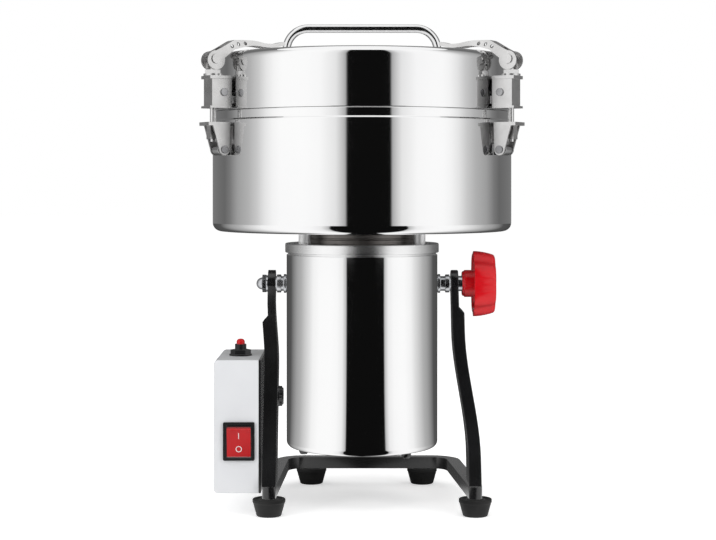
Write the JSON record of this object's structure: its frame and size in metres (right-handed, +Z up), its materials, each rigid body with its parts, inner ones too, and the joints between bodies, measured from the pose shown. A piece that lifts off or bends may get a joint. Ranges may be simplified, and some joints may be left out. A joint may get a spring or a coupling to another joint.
{
  "type": "electric grain mill",
  "caption": "Electric grain mill: a clamped steel bowl on a motor barrel that tilts in a black two-legged stand with a red locking knob and a side switch box.",
  "frame": {"origin": "on the floor plane, straight under the vertical axis of the motor and bowl", "axes": "+Z up along the motor and bowl axis; -Y is the front, where the switch faces; the tilt axis runs along X; the control box is on the -X side"},
  "size_m": [0.264, 0.2736, 0.4028],
  "materials": {
    "black_steel": "satin black paint",
    "rubber_black": "moulded",
    "box_enamel": "glossy light enamel",
    "black_plastic": "moulded",
    "red_plastic": "moulded",
    "zinc_steel": "zinc plated",
    "mirror_steel": "mirror polished stainless steel",
    "dark_iron": "machined and blackened",
    "clamp_steel": "polished steel pressings",
    "core_steel": "laminated sheets",
    "copper_wire": "enamelled copper wire",
    "cast_aluminium": "as cast",
    "bearing_steel": "ground",
    "blade_steel": "ground stainless steel",
    "silicone": "food silicone"
  },
  "bodies": {
    "stand": {"base_frame": "black_steel", "left_leg": "black_steel", "right_leg": "black_steel", "rubber_feet": "rubber_black", "box_housing": "box_enamel", "box_back_plate": "black_steel", "box_bolts": "black_steel", "switch_frame": "black_plastic", "breaker_body": "black_plastic", "breaker_nut": "black_plastic"},
    "rocker": {"rocker": "red_plastic"},
    "breaker_button": {"breaker_button": "red_plastic"},
    "motor": {"motor_shell": "mirror_steel", "bottom_cover": "black_plastic", "cover_screws": "black_steel", "top_plate": "mirror_steel", "seal_collar": "dark_iron", "bowl_posts": "zinc_steel", "bowl": "mirror_steel", "bowl_lugs": "mirror_steel", "pivot_bosses": "zinc_steel", "pivot_bolt": "zinc_steel", "stator": "core_steel", "field_coils": "copper_wire", "lower_bracket": "cast_aluminium", "brush_holders": "black_plastic", "lower_bearing": "bearing_steel", "upper_bearing": "bearing_steel"},
    "rotor": {"motor_shaft": "bearing_steel", "armature": "core_steel", "commutator": "copper_wire", "cooling_fan": "black_plastic", "lower_blade": "blade_steel", "blade_spacer": "blade_steel", "upper_blade": "blade_steel", "blade_nut": "blade_steel"},
    "knob": {"lock_knob": "red_plastic", "knob_stud": "zinc_steel"},
    "lid": {"lid": "mirror_steel", "lid_seal": "silicone", "lid_handle": "mirror_steel", "lid_lugs": "mirror_steel"},
    "clamp_left": {"clamp_yoke_left": "clamp_steel", "clamp_rod_left": "clamp_steel", "clamp_saddle_left": "clamp_steel", "clamp_pins_left": "clamp_steel"},
    "lever_left": {"cam_lever_left": "clamp_steel"},
    "clamp_right": {"clamp_yoke_right": "clamp_steel", "clamp_rod_right": "clamp_steel", "clamp_saddle_right": "clamp_steel", "clamp_pins_right": "clamp_steel"},
    "lever_right": {"cam_lever_right": "clamp_steel"},
    "clamp_rear": {"clamp_yoke_rear": "clamp_steel", "clamp_rod_rear": "clamp_steel", "clamp_saddle_rear": "clamp_steel", "clamp_pins_rear": "clamp_steel"},
    "lever_rear": {"cam_lever_rear": "clamp_steel"}
  },
  "joints": [
    {"name": "tilt", "type": "hinge", "parent": "stand", "child": "motor", "pos_m": [0, 0, 0.1828], "axis": [1, 0, 0], "range_deg": [-60, 60]},
    {"name": "knob_turn", "type": "hinge", "parent": "motor", "child": "knob", "pos_m": [0.09, 0, 0.1828], "axis": [1, 0, 0], "range_deg": [0, 360]},
    {"name": "rotor_spin", "type": "hinge", "parent": "motor", "child": "rotor", "pos_m": [0, 0, 0.1], "axis": [0, 0, 1], "continuous": true},
    {"name": "power_rocker", "type": "hinge", "parent": "stand", "child": "rocker", "pos_m": [-0.09925, -0.07, 0.06], "axis": [-1, 0, 0], "range_deg": [0, 18]},
    {"name": "breaker_reset", "type": "slide", "parent": "stand", "child": "breaker_button", "axis": [0, 0, 1], "range_m": [0, 0.003]},
    {"name": "clamp_swing_left", "type": "hinge", "parent": "motor", "child": "clamp_left", "pos_m": [-0.11518, -0.0665, 0.2952], "axis": [0.5, -0.866, 0], "range_deg": [0, 80]},
    {"name": "cam_lever_left", "type": "hinge", "parent": "clamp_left", "child": "lever_left", "pos_m": [-0.12055, -0.0696, 0.3685], "axis": [0.5, -0.866, 0], "range_deg": [0, 120]},
    {"name": "clamp_swing_right", "type": "hinge", "parent": "motor", "child": "clamp_right", "pos_m": [0.11518, -0.0665, 0.2952], "axis": [0.5, 0.866, 0], "range_deg": [0, 80]},
    {"name": "cam_lever_right", "type": "hinge", "parent": "clamp_right", "child": "lever_right", "pos_m": [0.12055, -0.0696, 0.3685], "axis": [0.5, 0.866, 0], "range_deg": [0, 120]},
    {"name": "clamp_swing_rear", "type": "hinge", "parent": "motor", "child": "clamp_rear", "pos_m": [0, 0.133, 0.2952], "axis": [-1, 0, 0], "range_deg": [0, 80]},
    {"name": "cam_lever_rear", "type": "hinge", "parent": "clamp_rear", "child": "lever_rear", "pos_m": [0, 0.1392, 0.3685], "axis": [-1, 0, 0], "range_deg": [0, 120]},
    {"name": "lid_lift", "type": "slide", "parent": "motor", "child": "lid", "axis": [0, 0, 1], "range_m": [0, 0.04]}
  ],
  "couplings": [
    {"joint": "clamp_swing_right", "follows": "clamp_swing_left", "ratio": 1},
    {"joint": "clamp_swing_rear", "follows": "clamp_swing_left", "ratio": 1},
    {"joint": "lid_lift", "follows": "clamp_swing_left", "m_per_rad": 0.0286}
  ]
}
